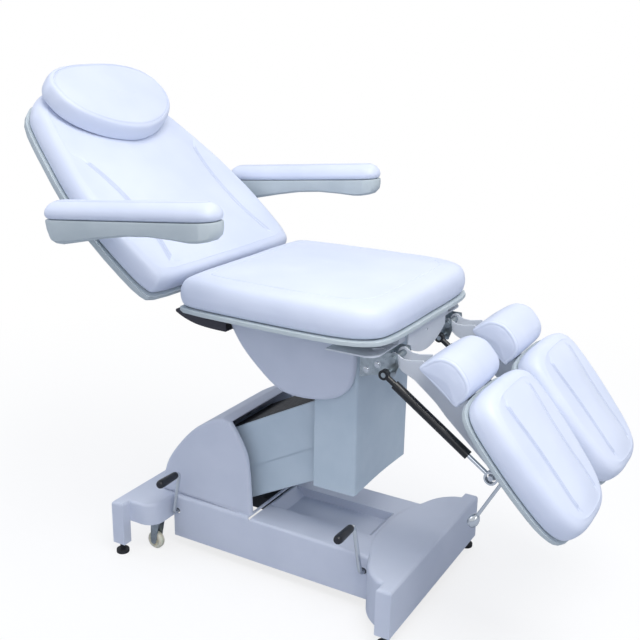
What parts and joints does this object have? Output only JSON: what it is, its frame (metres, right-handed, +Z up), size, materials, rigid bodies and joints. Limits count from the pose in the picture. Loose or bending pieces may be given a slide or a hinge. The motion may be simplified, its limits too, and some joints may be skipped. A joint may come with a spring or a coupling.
{
  "type": "facial bed",
  "caption": "Motor-lift facial bed: upholstered seat, reclining back with head pillow, folding armrests and two separate tilting leg rests on a covered parallel-arm base.",
  "frame": {"origin": "on the floor under the middle of the bed", "axes": "+X to the foot end, +Y to the sitter's left, +Z up"},
  "size_m": [1.6268, 0.861, 1.3171],
  "materials": {
    "moulded_cover": "satin moulded cover, white with a lavender cast",
    "painted_steel": "pale blue-grey powder coat",
    "frame_steel": "grey painted steel frame",
    "white_steel": "white painted steel",
    "chrome_rod": "polished rod",
    "black_grip": "black moulded",
    "black_rubber": "black rubber",
    "zinc_steel": "zinc plated",
    "castor_tread": "cream nylon",
    "dark_panel": "dark grey panel",
    "grey_shell": "light grey moulded shell",
    "white_vinyl": "white upholstery vinyl",
    "black_cylinder": "black gas spring tube",
    "actuator_grey": "grey actuator housing"
  },
  "bodies": {
    "base": {"base_frame": "frame_steel", "rear_base_cover": "moulded_cover", "front_base_cover": "moulded_cover", "lift_hood": "moulded_cover", "levelling_feet": "black_rubber", "power_inlet": "black_grip"},
    "upper_link": {"upper_lift_arm": "painted_steel"},
    "lower_link": {"lower_lift_arm": "painted_steel"},
    "lift_body": {"lift_actuator_body": "actuator_grey"},
    "lift_rod": {"lift_actuator_rod": "chrome_rod"},
    "column": {"column_frame": "frame_steel", "column_cover": "painted_steel"},
    "rear_crank": {"rear_crank": "chrome_rod", "rear_crank_grip": "black_grip"},
    "front_crank": {"front_crank": "chrome_rod", "front_crank_grip": "black_grip"},
    "rear_bar": {"rear_castor_bar": "frame_steel"},
    "front_bar": {"front_castor_bar": "frame_steel"},
    "seat": {"seat_frame": "white_steel", "pedestal_cover": "moulded_cover", "rear_under_cover": "dark_panel", "seat_tray": "grey_shell", "seat_cushion": "white_vinyl", "seat_front_plates": "white_steel", "back_actuator_body": "actuator_grey"},
    "tilt_body": {"tilt_actuator_body": "actuator_grey"},
    "tilt_rod": {"tilt_actuator_rod": "chrome_rod"},
    "back_rod": {"back_actuator_rod": "chrome_rod"},
    "back": {"back_frame": "frame_steel", "back_shell": "grey_shell", "back_cushion": "white_vinyl", "head_pillow": "white_vinyl"},
    "arm_left": {"arm_shell_left": "grey_shell", "arm_pad_left": "white_vinyl"},
    "arm_right": {"arm_shell_right": "grey_shell", "arm_pad_right": "white_vinyl"},
    "leg_swing_left": {"leg_bracket_left": "zinc_steel"},
    "leg_left": {"leg_arm_left": "white_steel", "leg_shell_left": "grey_shell", "leg_cushion_left": "white_vinyl", "knee_pad_left": "white_vinyl"},
    "spring_left": {"gas_spring_cylinder_left": "black_cylinder"},
    "spring_rod_left": {"gas_spring_rod_left": "chrome_rod"},
    "release_left": {"release_lever_left": "chrome_rod"},
    "leg_swing_right": {"leg_bracket_right": "zinc_steel"},
    "leg_right": {"leg_arm_right": "white_steel", "leg_shell_right": "grey_shell", "leg_cushion_right": "white_vinyl", "knee_pad_right": "white_vinyl"},
    "spring_right": {"gas_spring_cylinder_right": "black_cylinder"},
    "spring_rod_right": {"gas_spring_rod_right": "chrome_rod"},
    "release_right": {"release_lever_right": "chrome_rod"},
    "fork_rear_left": {"castor_fork_rear_left": "zinc_steel"},
    "wheel_rear_left": {"castor_wheel_rear_left": "castor_tread"},
    "fork_rear_right": {"castor_fork_rear_right": "zinc_steel"},
    "wheel_rear_right": {"castor_wheel_rear_right": "castor_tread"},
    "fork_front_left": {"castor_fork_front_left": "zinc_steel"},
    "wheel_front_left": {"castor_wheel_front_left": "castor_tread"},
    "fork_front_right": {"castor_fork_front_right": "zinc_steel"},
    "wheel_front_right": {"castor_wheel_front_right": "castor_tread"}
  },
  "joints": [
    {"name": "lift", "type": "hinge", "parent": "base", "child": "upper_link", "pos_m": [-0.2, 0, 0.307], "axis": [0, -1, 0], "range_deg": [-21, 12]},
    {"name": "lower_link_turn", "type": "hinge", "parent": "base", "child": "lower_link", "pos_m": [-0.2, 0, 0.195], "axis": [0, -1, 0], "range_deg": [-21, 12]},
    {"name": "column_level", "type": "hinge", "parent": "upper_link", "child": "column", "pos_m": [0.15494, 0, 0.49573], "axis": [0, -1, 0], "range_deg": [-12, 21]},
    {"name": "lift_actuator_turn", "type": "hinge", "parent": "base", "child": "lift_body", "pos_m": [-0.2, 0, 0.307], "axis": [0, -1, 0], "range_deg": [-22, 12.6]},
    {"name": "lift_actuator_stroke", "type": "slide", "parent": "lift_body", "child": "lift_rod", "axis": [0.9774, 0, 0.2113], "range_m": [-0.0229, 0.04]},
    {"name": "seat_tilt", "type": "hinge", "parent": "column", "child": "seat", "pos_m": [0.13, 0, 0.64], "axis": [0, -1, 0], "range_deg": [0, 12]},
    {"name": "tilt_actuator_turn", "type": "hinge", "parent": "column", "child": "tilt_body", "pos_m": [0.1, 0, 0.59], "axis": [0, -1, 0], "range_deg": [0, 12.5]},
    {"name": "tilt_actuator_stroke", "type": "slide", "parent": "tilt_body", "child": "tilt_rod", "axis": [-0.8751, 0, 0.4839], "range_m": [-0.0122, 0]},
    {"name": "back_recline", "type": "hinge", "parent": "seat", "child": "back", "pos_m": [-0.262, 0, 0.757], "axis": [0, 1, 0], "range_deg": [-40, 25]},
    {"name": "back_actuator_stroke", "type": "slide", "parent": "seat", "child": "back_rod", "axis": [-1, 0, 0], "range_m": [-0.024, 0.015]},
    {"name": "arm_lift_left", "type": "hinge", "parent": "back", "child": "arm_left", "pos_m": [-0.48804, 0.388, 0.931], "axis": [0, -1, 0], "range_deg": [-40, 90]},
    {"name": "leg_spread_left", "type": "hinge", "parent": "seat", "child": "leg_swing_left", "pos_m": [0.265, 0.16, 0.7], "axis": [0, 0, 1], "range_deg": [0, 25]},
    {"name": "leg_tilt_left", "type": "hinge", "parent": "leg_swing_left", "child": "leg_left", "pos_m": [0.327, 0.16, 0.702], "axis": [0, -1, 0], "range_deg": [-20, 48]},
    {"name": "gas_spring_turn_left", "type": "hinge", "parent": "leg_swing_left", "child": "spring_left", "pos_m": [0.322, 0.095, 0.674], "axis": [0, -1, 0], "range_deg": [-20.5, 49]},
    {"name": "gas_spring_stroke_left", "type": "slide", "parent": "spring_left", "child": "spring_rod_left", "axis": [0.8201, 0, -0.5722], "range_m": [-0.0097, 0.0231]},
    {"name": "release_pull_left", "type": "hinge", "parent": "leg_left", "child": "release_left", "pos_m": [0.612, 0.122, 0.478], "axis": [0, -1, 0], "range_deg": [0, 12], "stiffness_Nm_per_rad": 2},
    {"name": "arm_lift_right", "type": "hinge", "parent": "back", "child": "arm_right", "pos_m": [-0.48804, -0.388, 0.931], "axis": [0, -1, 0], "range_deg": [-40, 90]},
    {"name": "leg_spread_right", "type": "hinge", "parent": "seat", "child": "leg_swing_right", "pos_m": [0.265, -0.16, 0.7], "axis": [0, 0, -1], "range_deg": [0, 25]},
    {"name": "leg_tilt_right", "type": "hinge", "parent": "leg_swing_right", "child": "leg_right", "pos_m": [0.327, -0.16, 0.702], "axis": [0, -1, 0], "range_deg": [-20, 48]},
    {"name": "gas_spring_turn_right", "type": "hinge", "parent": "leg_swing_right", "child": "spring_right", "pos_m": [0.322, -0.225, 0.674], "axis": [0, -1, 0], "range_deg": [-20.5, 49]},
    {"name": "gas_spring_stroke_right", "type": "slide", "parent": "spring_right", "child": "spring_rod_right", "axis": [0.8201, 0, -0.5722], "range_m": [-0.0097, 0.0231]},
    {"name": "release_pull_right", "type": "hinge", "parent": "leg_right", "child": "release_right", "pos_m": [0.612, -0.198, 0.478], "axis": [0, -1, 0], "range_deg": [0, 12], "stiffness_Nm_per_rad": 2},
    {"name": "rear_crank_turn", "type": "hinge", "parent": "base", "child": "rear_crank", "pos_m": [-0.336, 0, 0.112], "axis": [0, 1, 0], "range_deg": [0, 60]},
    {"name": "rear_castors_down", "type": "slide", "parent": "base", "child": "rear_bar", "axis": [0, 0, 1], "range_m": [-0.014, 0]},
    {"name": "castor_swivel_rear_left", "type": "hinge", "parent": "rear_bar", "child": "fork_rear_left", "pos_m": [-0.374, 0.205, 0.09], "axis": [0, 0, 1], "continuous": true},
    {"name": "wheel_spin_rear_left", "type": "hinge", "parent": "fork_rear_left", "child": "wheel_rear_left", "pos_m": [-0.382, 0.205, 0.027], "axis": [0, 1, 0], "continuous": true},
    {"name": "castor_swivel_rear_right", "type": "hinge", "parent": "rear_bar", "child": "fork_rear_right", "pos_m": [-0.374, -0.205, 0.09], "axis": [0, 0, 1], "continuous": true},
    {"name": "wheel_spin_rear_right", "type": "hinge", "parent": "fork_rear_right", "child": "wheel_rear_right", "pos_m": [-0.382, -0.205, 0.027], "axis": [0, 1, 0], "continuous": true},
    {"name": "front_crank_turn", "type": "hinge", "parent": "base", "child": "front_crank", "pos_m": [0.256, 0, 0.112], "axis": [0, -1, 0], "range_deg": [0, 60]},
    {"name": "front_castors_down", "type": "slide", "parent": "base", "child": "front_bar", "axis": [0, 0, 1], "range_m": [-0.014, 0]},
    {"name": "castor_swivel_front_left", "type": "hinge", "parent": "front_bar", "child": "fork_front_left", "pos_m": [0.342, 0.205, 0.09], "axis": [0, 0, 1], "continuous": true},
    {"name": "wheel_spin_front_left", "type": "hinge", "parent": "fork_front_left", "child": "wheel_front_left", "pos_m": [0.334, 0.205, 0.027], "axis": [0, 1, 0], "continuous": true},
    {"name": "castor_swivel_front_right", "type": "hinge", "parent": "front_bar", "child": "fork_front_right", "pos_m": [0.342, -0.205, 0.09], "axis": [0, 0, 1], "continuous": true},
    {"name": "wheel_spin_front_right", "type": "hinge", "parent": "fork_front_right", "child": "wheel_front_right", "pos_m": [0.334, -0.205, 0.027], "axis": [0, 1, 0], "continuous": true}
  ],
  "couplings": [
    {"joint": "lower_link_turn", "follows": "lift", "ratio": 1},
    {"joint": "column_level", "follows": "lift", "ratio": -1},
    {"joint": "lift_actuator_turn", "follows": "lift", "ratio": 1.04},
    {"joint": "lift_actuator_stroke", "follows": "lift", "m_per_rad": -0.10886},
    {"joint": "tilt_actuator_turn", "follows": "seat_tilt", "ratio": 1.035},
    {"joint": "tilt_actuator_stroke", "follows": "seat_tilt", "m_per_rad": -0.0577},
    {"joint": "back_actuator_stroke", "follows": "back_recline", "m_per_rad": 0.03409},
    {"joint": "gas_spring_turn_left", "follows": "leg_tilt_left", "ratio": 1.02},
    {"joint": "gas_spring_stroke_left", "follows": "leg_tilt_left", "m_per_rad": 0.0275},
    {"joint": "gas_spring_turn_right", "follows": "leg_tilt_right", "ratio": 1.02},
    {"joint": "gas_spring_stroke_right", "follows": "leg_tilt_right", "m_per_rad": 0.0275},
    {"joint": "rear_castors_down", "follows": "rear_crank_turn", "m_per_rad": -0.013369},
    {"joint": "front_castors_down", "follows": "front_crank_turn", "m_per_rad": -0.013369}
  ]
}
